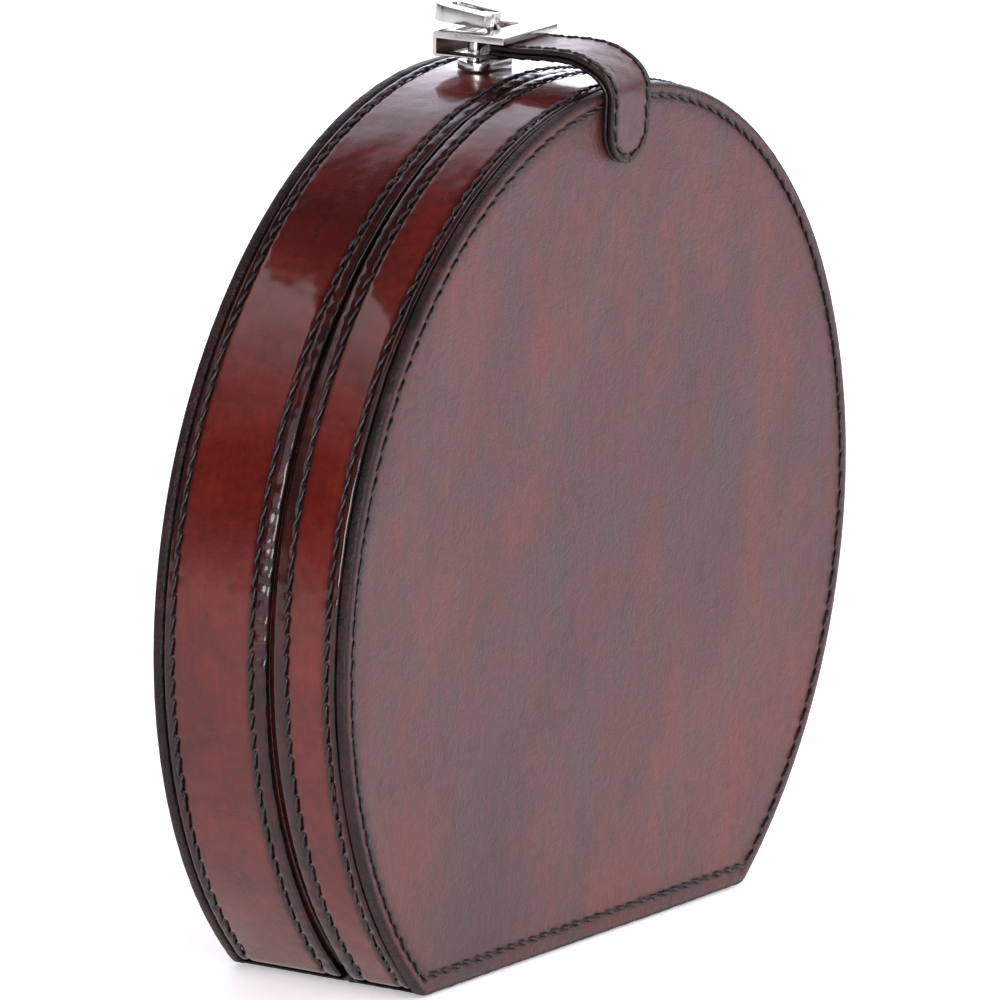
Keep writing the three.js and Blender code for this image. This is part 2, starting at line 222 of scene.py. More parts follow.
def wall(name, panel_y, mouth, floor, seams, material, corner_ink, crumpled):
    """A shell's wall. mouth is its far edge at every column; seams are the rows of stitches as
    (distance from the panel side, distance from the mouth); crumpled is where the mouth is creased."""
    side = 1 if mouth[0] > panel_y else -1
    width = np.abs(mouth - panel_y)
    lip = 1.1 * MM
    steps = int(width.max() / (0.5 * MM))
    rows = []

    def outer(share):
        reach = lip + (width - 2 * lip) * share
        from_mouth = width - reach
        nearest = np.minimum(reach, from_mouth)
        margin = ease(nearest, 1.2 * MM, 6.2 * MM)
        loose = crumpled * (1 - ease(from_mouth, 2.5 * MM, 5.5 * MM))
        dip = seam_dip(reach - seams[0]) + seam_dip(from_mouth - seams[1])
        uneven = 0.04 * MM * ripple.at(ALONG, reach) + 0.09 * MM * sag.at(ALONG, reach)
        rough = (0.012 + 0.05 * (1 - margin) + 0.2 * loose) * MM * crinkle.at(ALONG, reach)
        swell = 0.12 * MM * (bell(reach - 0.5 * seams[0], 1.2 * MM)
                             + bell(from_mouth - 0.5 * seams[1], 1.6 * MM))
        roll = ROLL_IN * crumpled * (1 - ease(from_mouth, 0, 4 * MM))
        lift = IN_ARC * (uneven + rough + swell - roll) - dip
        shade = 1 - ease(nearest, 0.6 * MM, 2.2 * MM)
        shade = np.maximum(shade, 0.8 * (1 - ease(from_mouth, 3.6 * MM, 5.8 * MM)))
        shade = np.maximum(shade, corner_ink * (1 - ease(reach, 2.2 * MM, 4.4 * MM)))
        shade = np.maximum(shade, bell(reach - seams[0], 1.3 * MM))
        shade = np.maximum(shade, bell(from_mouth - seams[1], 1.3 * MM))
        return (0, panel_y + side * reach, (1, 0), lift, shade, 0.15 * (1 - margin) + loose)

    for k in range(steps + 1):
        rows.append(outer(k / steps))
    edge_lift = rows[-1][3]
    rolled = IN_ARC * ROLL_IN * crumpled
    for turn in (25, 50, 75):
        a = math.radians(turn)
        inset = lip * (1 - math.cos(a))
        y = mouth - side * lip * (1 - math.sin(a))
        rows.append((inset, y, (1, 0), edge_lift * math.cos(a) - rolled * (1 - math.cos(a)), 1, 1))
    rows.append((lip, mouth, (1, 0), -rolled, 1, 1))
    rows.append((LEATHER - 0.5 * MM, mouth, (0, 0), 0, 1, 0.5))
    rows.append((LEATHER, mouth - side * 0.5 * MM, (0, 0), 0, 0.8, 0))
    for share in (0.75, 0.5, 0.25):
        rows.append((LEATHER, panel_y + (mouth - panel_y) * share, (0, 0), 0, 0.3, 0))
    rows.append((LEATHER, panel_y, (0, 0), 0, 0.5, 0))
    rows.append((lip, panel_y, (0, 0), 0, 1, 1))
    edge_lift = rows[0][3]
    for turn in (75, 50, 25):
        a = math.radians(turn)
        inset = lip * (1 - math.cos(a))
        y = panel_y + side * lip * (1 - math.sin(a))
        rows.append((inset, y, (math.cos(a), 0), edge_lift * math.cos(a), 1, 1))
    return ring_mesh(name, rows, floor, material)


def panel(name, face_y, inner_y, material):
    """A shell's flat side: a disc with a painted edge and a seam round its face."""
    side = 1 if face_y > inner_y else -1
    bevel = 0.95 * MM
    rows = []

    def face(inset):
        shape = outline(inset, inset)
        dip = seam_dip(inset - SEAM_INSET)
        calm = ease(inset, 6 * MM, 12 * MM)
        rough = (0.01 + 0.035 * (1 - calm)) * MM * crinkle.at(shape[:, 0], shape[:, 1])
        uneven = 0.03 * MM * ripple.at(shape[:, 0], shape[:, 1])
        uneven = uneven + 0.22 * MM * sag.at(shape[:, 0], shape[:, 1]) * calm
        swell = 0.2 * MM * bell(inset - 0.55 * SEAM_IN, 1.6 * MM)
        fade = ease(inset, 0, 2 * MM)
        shade = 1 - ease(inset, 0.5 * MM, 2 * MM)
        shade = np.maximum(shade, 0.3 * (1 - ease(inset, 4.8 * MM, 8 * MM)))
        shade = np.maximum(shade, 0.8 * bell(inset - SEAM_INSET, 0.9 * MM))
        return (inset, face_y, (0, side), fade * (rough + uneven + swell) - dip, shade, 0.15 * (1 - calm))

    rows.append((LEATHER, inner_y, (0, 0), 0, 0.6, 0))
    rows.append((0.4 * MM, inner_y, (0, 0), 0, 1, 1))
    rows.append((0, inner_y + side * 0.4 * MM, (0, 0), 0, 1, 1))
    for turn in (0, 22, 45, 68):
        a = math.radians(turn)
        y = face_y - side * bevel * (1 - math.sin(a))
        wobble = 0.05 * MM * crinkle.at(ALONG, 0.3) + 0.08 * MM * sag.at(ALONG, 0.3)
        rows.append((bevel * (1 - math.cos(a)), y, (1, 0), wobble * math.cos(a), 0.9, 0.7))
    insets = np.arange(bevel, 12 * MM, 0.5 * MM)
    rows += [face(float(inset)) for inset in insets]
    points, ink, gleam = swept(rows, 0)
    middle = np.array([0, CENTRE_Z + 0.08 * RADIUS])
    last = outline(float(insets[-1]), float(insets[-1]))
    shares = np.linspace(1, 0.02, 42)[1:]
    for share in shares:
        flat = middle + (last - middle) * share
        uneven = 0.02 * MM * crinkle.at(flat[:, 0], flat[:, 1])
        uneven = uneven + 0.03 * MM * ripple.at(flat[:, 0], flat[:, 1])
        uneven = uneven + 0.22 * MM * sag.at(flat[:, 0], flat[:, 1])
        points.append(np.stack([flat[:, 0], face_y + side * uneven, flat[:, 1]], 1))
        ink.append(np.zeros(COLUMNS))
        gleam.append(np.zeros(COLUMNS))
    count = len(points)
    points = np.concatenate(points + [np.array([[middle[0], face_y, middle[1]],
                                                [middle[0], inner_y, middle[1]]])])
    ink = np.concatenate(ink + [[0, 0.6]])
    gleam = np.concatenate(gleam + [[0, 0]])
    faces = grid_faces(count, COLUMNS, False, True)
    faces += fan(count * COLUMNS, (count - 1) * COLUMNS, COLUMNS)
    faces += fan(count * COLUMNS + 1, 0, COLUMNS)
    return make_object(name, points, faces, material, {"ink": ink, "gleam": gleam})


# ---- thread -------------------------------------------------------------------------------------
THREAD = 0.42 * MM
SLANT = math.radians(12)


def thread(name, centres, ahead, across, up, material, length=0.0):
    """One row of slanting stitches of twisted thread, each dipping into the leather at both ends."""
    rings, around = 9, 8
    count = len(centres)
    t = np.linspace(-1, 1, rings)
    turn = np.arange(around) * 2 * math.pi / around
    length = length or 1.04 * PITCH
    slant = SLANT + rng.normal(0, 0.05, count)
    size = length * (1 + rng.normal(0, 0.04, count)) / 2
    line = np.cos(slant)[:, None] * ahead + np.sin(slant)[:, None] * across
    beside = -np.sin(slant)[:, None] * ahead + np.cos(slant)[:, None] * across
    height = 0.2 * MM - 0.75 * MM * np.abs(t) ** 4
    taper = 1 - 0.35 * np.abs(t) ** 4
    twist = t * 2.6
    lobes = 1 + 0.26 * np.cos(2 * (turn[None, :] - twist[:, None]))
    radius = THREAD * taper[:, None] * lobes
    sideways = radius * np.cos(turn)[None, :]
    upward = radius * np.sin(turn)[None, :] + height[:, None]
    points = (centres[:, None, None, :]
              + (size[:, None] * t[None, :])[:, :, None, None] * line[:, None, None, :]
              + sideways[None, :, :, None] * beside[:, None, None, :]
              + upward[None, :, :, None] * up[:, None, None, :])
    faces = []
    one = grid_faces(rings, around, False, True)
    per = rings * around
    for k in range(count):
        base = k * per
        faces += [tuple(base + v for v in face) for face in one]
        faces.append(tuple(base + v for v in range(around)))
        faces.append(tuple(base + per - 1 - v for v in range(around)))
    return make_object(name, points.reshape(-1, 3), faces, material)


def pick(values):
    """A value at the middle of each stitch."""
    at = (np.arange(STITCHES) + 0.5) * PITCH
    closed = np.concatenate([values, values[:1]])
    places = np.concatenate([ALONG, [LENGTH]])
    return np.stack([np.interp(at, places, closed[:, k]) for k in range(closed.shape[1])], 1)


def flatten(vectors):
    return vectors / np.linalg.norm(vectors, axis=1)[:, None]


def wall_thread(name, y, floor, material):
    """Stitches on a wall, at depth y for every column, over the arc but not under the base."""
    flat = outline(0, floor)
    normal = outward(flat)
    depth = y * np.ones(COLUMNS)
    place = pick(np.stack([flat[:, 0], depth, flat[:, 1]], 1))
    up = flatten(pick(np.stack([normal[:, 0], 0 * depth, normal[:, 1]], 1)))
    ahead = flatten(np.stack([-up[:, 2], 0 * up[:, 1], up[:, 0]], 1))
    across = np.tile([0.0, 1.0, 0.0], (STITCHES, 1))
    keep = ((np.arange(STITCHES) + 0.9) * PITCH < ARC_SHARE * LENGTH)
    return thread(name, place[keep], ahead[keep], across[keep], up[keep], material)


def panel_thread(name, y, side, material):
    flat = outline(SEAM_IN, SEAM_BASE)
    normal = outward(flat)
    depth = y * np.ones(COLUMNS)
    place = pick(np.stack([flat[:, 0], depth, flat[:, 1]], 1))
    across = flatten(pick(np.stack([normal[:, 0], 0 * depth, normal[:, 1]], 1)))
    ahead = flatten(np.stack([-across[:, 2], 0 * across[:, 1], across[:, 0]], 1))
    up = np.tile([0.0, float(side), 0.0], (STITCHES, 1))
    scale = 1 - SEAM_IN / RADIUS
    return thread(name, place, ahead, across, up, material, 1.04 * PITCH * scale)


# ---- materials ----------------------------------------------------------------------------------

class Look:
    """A material under construction. Nodes are added left to right and feed one Principled shader."""

    def __init__(self, name):
        self.material = bpy.data.materials.new(name)
        self.material.use_nodes = True
        self.tree = self.material.node_tree
        self.shader = self.tree.nodes["Principled BSDF"]
        self.place = self.node("ShaderNodeTexCoord").outputs["Object"]

    def node(self, kind, **settings):
        made = self.tree.nodes.new(kind)
        for key, value in settings.items():
            setattr(made, key, value)
        return made

    def link(self, source, target):
        self.tree.links.new(source, target)

    def feed(self, socket, value):
        if isinstance(value, bpy.types.NodeSocket):
            self.link(value, socket)
        else:
            socket.default_value = value

    def stretched(self, scale):
        made = self.node("ShaderNodeMapping")
        made.inputs["Scale"].default_value = scale
        self.link(self.place, made.inputs["Vector"])
        return made.outputs["Vector"]

    def noise(self, scale, detail=3.0, rough=0.5, vector=None, warp=0.0):
        made = self.node("ShaderNodeTexNoise")
        made.inputs["Scale"].default_value = scale
        made.inputs["Detail"].default_value = detail
        made.inputs["Roughness"].default_value = rough
        made.inputs["Distortion"].default_value = warp
        self.link(vector or self.place, made.inputs["Vector"])
        return made.outputs["Fac"]

    def cells(self, scale, vector=None):
        made = self.node("ShaderNodeTexVoronoi")
        made.inputs["Scale"].default_value = scale
        self.link(vector or self.place, made.inputs["Vector"])
        return made.outputs["Distance"]

    def attribute(self, name):
        return self.node("ShaderNodeAttribute", attribute_name=name).outputs["Fac"]

    def remap(self, value, low, high, to_low, to_high):
        made = self.node("ShaderNodeMapRange")
        made.inputs["From Min"].default_value = low
        made.inputs["From Max"].default_value = high
        made.inputs["To Min"].default_value = to_low
        made.inputs["To Max"].default_value = to_high
        self.link(value, made.inputs["Value"])
        return made.outputs["Result"]

    def math(self, operation, a, b):
        made = self.node("ShaderNodeMath", operation=operation)
        self.feed(made.inputs[0], a)
        self.feed(made.inputs[1], b)
        return made.outputs["Value"]

    def ramp(self, value, *stops):
        made = self.node("ShaderNodeValToRGB")
        line = made.color_ramp
        while len(line.elements) < len(stops):
            line.elements.new(0.5)
        for element, (place, colour) in zip(line.elements, stops):
            element.position = place
            element.color = (*colour, 1)
        self.link(value, made.inputs["Fac"])
        return made.outputs["Color"]

    def blend(self, factor, a, b, mode="MIX"):
        made = self.node("ShaderNodeMix", data_type="RGBA", blend_type=mode)
        self.feed(made.inputs["Factor"], factor)
        for socket, value in ((made.inputs[6], a), (made.inputs[7], b)):
            if isinstance(value, bpy.types.NodeSocket):
                self.link(value, socket)
            else:
                socket.default_value = (*value, 1)
        return made.outputs[2]

    def bump(self, height, distance, strength=1.0, after=None):
        made = self.node("ShaderNodeBump")
        made.inputs["Distance"].default_value = distance
        made.inputs["Strength"].default_value = strength
        self.link(height, made.inputs["Height"])
        if after is not None:
            self.link(after, made.inputs["Normal"])
        return made.outputs["Normal"]

    def done(self, **inputs):
        for key, value in inputs.items():
            socket = self.shader.inputs[key.replace("_", " ")]
            if isinstance(value, tuple):
                value = (*value, 1)
            self.feed(socket, value)
        return self.material


def leather(name, dark, middle, bright, gloss, coat, shine=0.5, streak=(1, 1, 1), grain=0.35,
            coat_rough=0.1, coat_index=1.5):
    """Hand-coloured leather: mottled, streaked, black towards its edges and seams."""
    look = Look(name)
    along = look.stretched(streak)
    broad = look.noise(13, 4, 0.55, along, 0.4)
    blotch = look.noise(48, 5, 0.62, along, 0.8)
    speck = look.noise(420, 3, 0.6)
    tone = look.math("ADD", look.math("MULTIPLY", broad, 0.55), look.math("MULTIPLY", blotch, 0.45))
    colour = look.ramp(tone, (0.36, dark), (0.49, middle), (0.63, bright))
    spotted = look.remap(speck, 0.3, 0.7, 0.76, 1.14)
    colour = look.blend(1.0, colour, look.ramp(spotted, (0.0, (0, 0, 0)), (1.0, (1, 1, 1))), "MULTIPLY")
    fibre = look.noise(230, 5, 0.7, look.stretched((1.8, 1.8, 0.5)), 0.6)
    streaked = look.ramp(fibre, (0.32, (0.74, 0.74, 0.76)), (0.68, (1.08, 1.04, 1.02)))
    colour = look.blend(1.0, colour, streaked, "MULTIPLY")
    ink = look.attribute("ink")
    worn = look.math("MULTIPLY", ink, look.remap(look.noise(150, 3), 0.3, 0.65, 0.7, 1.05))
    colour = look.blend(worn, colour, (0.006, 0.004, 0.0045))
    pores = look.cells(1500)
    pebble = look.noise(650, 3, 0.6)
    creases = look.noise(110, 4, 0.6, look.stretched((1, 2.2, 1)), 1.5)
    gleam = look.attribute("gleam")
    normal = look.bump(pores, 0.00010, grain)
    normal = look.bump(pebble, 0.0003, grain, normal)
    normal = look.bump(creases, 0.0006, 0.5 * grain, normal)
    crumple = look.math("MULTIPLY", look.noise(260, 3, 0.6, None, 0.8), gleam)
    normal = look.bump(crumple, 0.0011, 0.7, normal)
    rough = look.remap(blotch, 0.3, 0.7, gloss[0], gloss[1])
    mirror = look.remap(ink, 0, 1, shine, 0.35 * shine)
    return look.done(Base_Color=colour, Roughness=rough, Specular_IOR_Level=mirror,
                     Coat_Weight=coat, Coat_Roughness=coat_rough, Coat_IOR=coat_index, Normal=normal)


def metal(name, base, rough):
    look = Look(name)
    cloud = look.noise(160, 4, 0.6)
    fine = look.noise(1400, 2, 0.5, look.stretched((0.25, 1, 1)))
    tint = look.ramp(cloud, (0.3, tuple(0.8 * c for c in base)), (0.7, base))
    roughness = look.remap(fine, 0.25, 0.75, rough[0], rough[1])
    normal = look.bump(look.noise(230, 2), 0.00035, 0.25)
    normal = look.bump(fine, 0.00006, 0.2, normal)
    return look.done(Base_Color=tint, Metallic=1.0, Roughness=roughness, Normal=normal)


def woven(name, warp_colour, weft_colour, scale):
    look = Look(name)
    waves = []
    for direction in ("X", "Z"):
        wave = look.node("ShaderNodeTexWave", bands_direction=direction)
        wave.inputs["Scale"].default_value = scale
        wave.inputs["Distortion"].default_value = 0.6
        look.link(look.place, wave.inputs["Vector"])
        waves.append(wave.outputs["Fac"])
    weave = look.math("MULTIPLY", waves[0], waves[1])
    cloudy = look.math("MULTIPLY", look.noise(60, 4), 0.5)
    tone = look.math("ADD", look.math("MULTIPLY", weave, 0.6), cloudy)
    colour = look.ramp(tone, (0.15, warp_colour), (0.75, weft_colour))
    return look.done(Base_Color=colour, Roughness=look.remap(weave, 0, 1, 0.95, 0.8), Sheen_Weight=0.2,
                     Normal=look.bump(weave, 0.0003, 0.5))


def card(name, dark, light):
    look = Look(name)
    fibre = look.noise(300, 5, 0.7, look.stretched((1, 1, 3)))
    colour = look.ramp(fibre, (0.3, dark), (0.7, light))
    return look.done(Base_Color=colour, Roughness=look.remap(fibre, 0.3, 0.7, 0.95, 0.8),
                     Normal=look.bump(fibre, 0.0003, 0.4))


def waxed(name):
    look = Look(name)
    strands = look.noise(2200, 2, 0.5)
    colour = look.ramp(look.noise(300, 3), (0.3, (0.004, 0.003, 0.0035)), (0.7, (0.016, 0.012, 0.013)))
    return look.done(Base_Color=colour, Roughness=look.remap(strands, 0.3, 0.7, 0.3, 0.5),
                     Normal=look.bump(strands, 0.00012, 0.5))


def paper(name, shade):
    look = Look(name)
    soft = look.noise(3, 2)
    tone = look.ramp(soft, (0.3, tuple(0.985 * c for c in shade)), (0.7, shade))
    return look.done(Base_Color=tone, Roughness=look.remap(soft, 0.3, 0.7, 0.6, 0.7),
                     Specular_IOR_Level=0.1, Emission_Color=tone, Emission_Strength=0.45)


WALL = leather("wall_leather", (0.060, 0.0045, 0.002), (0.120, 0.008, 0.004), (0.18, 0.016, 0.007),
               (0.22, 0.34), 1.0, shine=0.12, streak=(1, 0.5, 1), grain=0.2, coat_index=1.4)
FACE = leather("panel_leather", (0.056, 0.017, 0.019), (0.098, 0.022, 0.020), (0.158, 0.027, 0.018),
               (0.42, 0.52), 0.0, shine=0.65, streak=(1.7, 1.7, 0.9), grain=1.0)
STRAP = leather("strap_leather", (0.055, 0.014, 0.012), (0.085, 0.020, 0.016), (0.13, 0.024, 0.016),
                (0.34, 0.46), 0.3, shine=0.4, grain=0.5, coat_rough=0.3)
UNDER = leather("under_leather", (0.010, 0.005, 0.005), (0.018, 0.007, 0.006), (0.03, 0.009, 0.008),
                (0.25, 0.4), 0.3)
INNER = leather("collar_leather", (0.05, 0.006, 0.004), (0.09, 0.010, 0.006), (0.13, 0.014, 0.008),
                (0.3, 0.45), 0.2)
NICKEL = metal("nickel", (0.62, 0.61, 0.59), (0.12, 0.26))
# Dark brown nickel for the inside of the clasp: painted shade and a painted reflection of the leather.
PAINTED_SHADE_NICKEL = metal("nickel_painted_shade", (0.20, 0.155, 0.125), (0.25, 0.4))
CLOTH = woven("lining_cloth", (0.20, 0.12, 0.075), (0.36, 0.24, 0.16), 150)
CARD = card("board_card", (0.38, 0.30, 0.21), (0.52, 0.43, 0.31))
THREADS = waxed("waxed_thread")

# ---- the shells ---------------------------------------------------------------------------------

def front_mouth(floor):
    height = outline(0, floor)[:, 1]
    gap = MOUTH_GAP_BASE + (MOUTH_GAP_TOP - MOUTH_GAP_BASE) * height / TOP
    return REAR_WALL_LOW.y - gap


def place(obj, body, slot, *nodes):
    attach(obj, body)
    if nodes:
        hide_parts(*nodes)
    return obj


WALL_FLOOR = REAR_WALL_LOW.z
face = panel("face_front", FACE_LOW.y, FACE_HIGH.y, FACE)
place(face, "front_shell", "face_leather", "front_panel")
back = panel("face_rear", BACK_HIGH.y, BACK_LOW.y, FACE)
place(back, "rear_shell", "band_leather", "rear_panel")


def worn_side():
    """Full on the left, where hands have creased the mouth, and slight elsewhere."""
    height = (RIM[:, 1] - CENTRE_Z) / RADIUS
    return 0.1 + 0.9 * bell(height - 0.1, 0.42) * (RIM[:, 0] < 0)


mouth_front = front_mouth(WALL_FLOOR)
mouth_rear = np.full(COLUMNS, float(REAR_WALL_LOW.y))
front_wall = wall("wall_front", FRONT_WALL_LOW.y, mouth_front, WALL_FLOOR,
                  (SEAM_CORNER, SEAM_MOUTH), WALL, 0.6, 0.06)
place(front_wall, "front_shell", "band_leather", "front_band")
rear_wall = wall("wall_rear", REAR_WALL_HIGH.y, mouth_rear, WALL_FLOOR,
                 (SEAM_CORNER, SEAM_MOUTH), WALL, 0.85, worn_side())
place(rear_wall, "rear_shell", "band_leather", "rear_band")

for name, body, made in (
    ("thread_face_front", "front_shell", ("panel", FACE_LOW.y, -1)),
    ("thread_face_rear", "rear_shell", ("panel", BACK_HIGH.y, 1)),
    ("thread_front_corner", "front_shell", ("wall", FRONT_WALL_LOW.y + SEAM_CORNER)),
    ("thread_front_mouth", "front_shell", ("wall", mouth_front - SEAM_MOUTH)),
    ("thread_rear_mouth", "rear_shell", ("wall", mouth_rear + SEAM_MOUTH)),
    ("thread_rear_corner", "rear_shell", ("wall", REAR_WALL_HIGH.y - SEAM_CORNER)),
):
    if made[0] == "panel":
        row = panel_thread(name, made[1], made[2], THREADS)
    else:
        row = wall_thread(name, made[1], WALL_FLOOR, THREADS)
    place(row, body, "base_leather")


def collar():
    """The dark lip inside the mouths, soft at its free edge."""
    inset = RADIUS - COLLAR_HIGH.x
    thick = 1.6 * MM
    y0, y1 = COLLAR_LOW.y, COLLAR_HIGH.y
    rows = []
    for share in np.linspace(0, 1, 26):
        y = y0 + (y1 - y0) * float(share)
        near = 1 - ease(y, y0, y0 + 2.5 * MM)
        lift = 0.12 * MM * ripple.at(ALONG, y + 1) + 0.06 * MM * crinkle.at(ALONG, y + 1)
        rows.append((inset + 0.35 * MM * near, y, (1, 0), lift, 0.25 + 0.5 * near, 0.6))
    rows.append((inset + 0.5 * thick, y1 + 0.2 * MM, (0, 0), 0, 0.5, 0))
    rows.append((inset + thick, y1, (0, 0), 0, 0.3, 0))
    rows.append((inset + thick, y0, (0, 0), 0, 0.3, 0))
    rows.append((inset + 0.6 * thick, y0 - 0.35 * MM, (0, 0), 0, 0.9, 0))
    return ring_mesh("mouth_collar", rows, COLLAR_LOW.z - inset, INNER)


place(collar(), "rear_shell", "base_leather", "inner_collar")


def hinge_strip():
    """The leather under the base, bunched up where the shells meet."""
    across, along = 90, 150
    x = np.linspace(-1, 1, across)
    y0, y1 = FACE_HIGH.y + 0.3 * MM, SOLE_HIGH.y
    y = np.linspace(y0, y1, along)
    grid_x, grid_y = np.meshgrid(x, y)
    bunch = bell(grid_y - HINGE_Y, 1.3 * MM)
    folds = 0.5 + 0.5 * np.sin((grid_y - HINGE_Y) / (0.62 * MM)) * bell(grid_y - HINGE_Y, 5 * MM)
    half = BASE_HALF - 0.4 * MM + 0.7 * MM * bunch * (1 + 0.3 * ripple.at(grid_x * BASE_HALF, grid_y))
    rough = 0.05 * MM * crinkle.at(grid_x * BASE_HALF, grid_y)
    upper = SOLE_HIGH.z + bunch * 2.6 * MM + 0.2 * MM * (folds - 0.5)
    lower = 0.12 * MM + 0.5 * MM * bunch * folds + np.abs(rough)
    edge = 0.35 * MM * (np.abs(grid_x) > 0.999)
    top = np.stack([grid_x * half, grid_y, upper - edge + 0.4 * rough], 2)
    low = np.stack([grid_x * half, grid_y, lower + edge], 2)
    points = np.concatenate([top.reshape(-1, 3), low.reshape(-1, 3)])
    size = across * along
    faces = grid_faces(along, across, False, False)
    faces += [tuple(size + v for v in reversed(f)) for f in grid_faces(along, across, False, False)]
    rim = list(range(across))
    rim += [i * across + across - 1 for i in range(1, along)]
    rim += [(along - 1) * across + j for j in range(across - 2, -1, -1)]
    rim += [i * across for i in range(along - 2, 0, -1)]
    for k, a in enumerate(rim):
        b = rim[(k + 1) % len(rim)]
        faces.append((a, size + a, size + b, b))
    ink = np.full(2 * size, 0.55)
    return make_object("hinge_leather", points, faces, UNDER, {"ink": ink, "gleam": ink})


strip = hinge_strip()
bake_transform(strip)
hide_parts("rear_sole", "front_sole")

# ---- the strap ----------------------------------------------------------------------------------
TIP_HALF = TIP_HIGH.x
CLASP_HALF = ARCH_HIGH.x
STRAP_FRONT = ARCH_LOW.y
BEND_Z = ARCH_LOW.z
BEND_RISE = ARCH_HIGH.z - BEND_Z
BEND_REACH = min(
    v.co.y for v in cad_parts["strap_outer"].data.vertices if v.co.z > ARCH_HIGH.z - 0.05 * MM
) - STRAP_FRONT
STRAP_END = ARCH_HIGH.y
CROWN = 0.7 * MM  # the arch's swell between the bend and the clasp
STRAP_SEAM = 2.1 * MM


def strap_line():
    """Outer surface of the strap in the YZ plane, from the tip to the end inside the clasp."""
    up = np.linspace(TIP_LOW.z, BEND_Z, 60)[:-1]
    turn = np.linspace(math.pi, math.pi / 2, 70)
    centre = STRAP_FRONT + BEND_REACH
    flat = np.linspace(centre, STRAP_END, 50)[1:]
    y = np.concatenate([np.full(len(up), STRAP_FRONT), centre + BEND_REACH * np.cos(turn), flat])
    z = np.concatenate([up, BEND_Z + BEND_RISE * np.sin(turn), np.full(len(flat), ARCH_HIGH.z)])
    start = STRAP_FRONT + 0.25 * BEND_REACH
    swell = np.clip((y - start) / (CLASP_LOW.y - start), 0, 1)
    z = z + CROWN * np.sin(math.pi * swell) ** 2
    line = np.stack([y, z], 1)
    length = np.concatenate([[0], np.cumsum(np.linalg.norm(np.diff(line, axis=0), axis=1))])
    return line, length


LINE, LINE_LENGTH = strap_line()
TOTAL = float(LINE_LENGTH[-1])


def on_strap(s, depth):
    """The point at length s and depth under the outer surface, and the outward normal there."""
    y = np.interp(s, LINE_LENGTH, LINE[:, 0])
    z = np.interp(s, LINE_LENGTH, LINE[:, 1])
    step = 0.4 * MM
    dy = np.interp(s + step, LINE_LENGTH, LINE[:, 0]) - np.interp(s - step, LINE_LENGTH, LINE[:, 0])
    dz = np.interp(s + step, LINE_LENGTH, LINE[:, 1]) - np.interp(s - step, LINE_LENGTH, LINE[:, 1])
    size = np.hypot(dy, dz)
    normal = np.stack([-dz / size, dy / size], -1)
    return y - normal[..., 0] * depth, z - normal[..., 1] * depth, normal


def half_width(s):
    share = np.clip((s - 20 * MM) / (TOTAL - 30 * MM), 0, 1)
    return TIP_HALF + (CLASP_HALF - TIP_HALF) * share


def strap_layer(name, depth, thick, sewn, material):
    """One layer of the strap, with round edges and a seam drawn in along them."""
    bevel = min(0.55 * MM, 0.45 * thick)
    rim = []
    for turn in (0, 30, 60, 90):
        a = math.radians(turn)
        rim.append((bevel * (1 - math.cos(a)), bevel * (1 - math.sin(a))))
    face = [(inset * MM, 0.0) for inset in (1.0, 1.4, 1.7, 1.9, 2.1, 2.3, 2.5, 2.8, 3.3)]
    edge = rim + face
    shares = np.linspace(1, -1, 11)[1:-1]
    inner_inset = edge[-1][0]
    loop = [(1, i, h, None) for i, h in edge] + [(0, inner_inset, 0.0, f) for f in shares]
    loop += [(-1, i, h, None) for i, h in reversed(edge)]
    low_edge = [(i, thick - h) for i, h in rim]
    loop += [(-1, i, h, None) for i, h in low_edge] + [(-1, inner_inset, thick, None)]
    loop += [(1, inner_inset, thick, None)] + [(1, i, h, None) for i, h in reversed(low_edge)]
    turns = np.radians(np.linspace(2, 90, 26))
    lengths = np.arange(TIP_HALF + 0.5 * MM, TOTAL, 0.55 * MM)
    points, ink, gleam = [], [], []
    stations = [("tip", t) for t in turns] + [("run", s) for s in lengths]
    for kind, value in stations:
        for sign, inset, h, share in loop:
            if kind == "tip":
                r = TIP_HALF - inset
                s, w = TIP_HALF - r * math.cos(value), r * math.sin(value)
            else:
                s, w = value, half_width(value) - inset
            x = w * (sign if share is None else share)
            middle = inset if share is None else inner_inset + (1 - abs(share)) * w
            upper = h < 0.5 * thick
            drop = 0.0
            if sewn and upper:
                wave = 0.5 + 0.5 * math.cos(2 * math.pi * s / STRAP_PITCH)
                drop = 0.30 * MM * math.exp(-((inset - STRAP_SEAM) / (0.6 * MM)) ** 2) * (share is None)
                drop *= 1 + 0.5 * wave
            rough = 0.05 * MM * float(crinkle.at(x + 3, s)) if upper and h == 0 else 0.0
            y, z, _ = on_strap(s, depth + h + drop - rough)
            points.append((x, float(y), float(z)))
            painted = 1 - min(1, max(0, (middle - 0.6 * MM) / (0.9 * MM)))
            painted = max(painted, 0.0 if upper else 1.0, 0.45 * (middle < 2.4 * MM))
            ink.append(painted)
            gleam.append(1 - min(1, middle / (4 * MM)))
    columns, count = len(loop), len(stations)
    faces = grid_faces(count, columns, False, True)
    faces.append(tuple(range(columns)))
    faces.append(tuple((count - 1) * columns + j for j in range(columns - 1, -1, -1)))
    return make_object(name, points, faces, material, {"ink": ink, "gleam": gleam})


def strap_seam():
    """Where the stitches of the strap go: up one side, with a U round the tip, and down the other."""
    r = TIP_HALF - STRAP_SEAM
    bend = [(r * math.sin(a), TIP_HALF - r * math.cos(a)) for a in np.linspace(0, math.pi / 2, 30)]
    last = float(np.interp(CLASP_LOW.y - 0.5 * MM, LINE[100:, 0], LINE_LENGTH[100:]))
    side = [(half_width(s) - STRAP_SEAM, s) for s in np.linspace(TIP_HALF, last, 160)[1:]]
    right = bend + side
    path = [(-x, s) for x, s in reversed(right)] + right[1:]
    path = np.array(path)
    length = np.concatenate([[0], np.cumsum(np.linalg.norm(np.diff(path, axis=0), axis=1))])
    return path, length


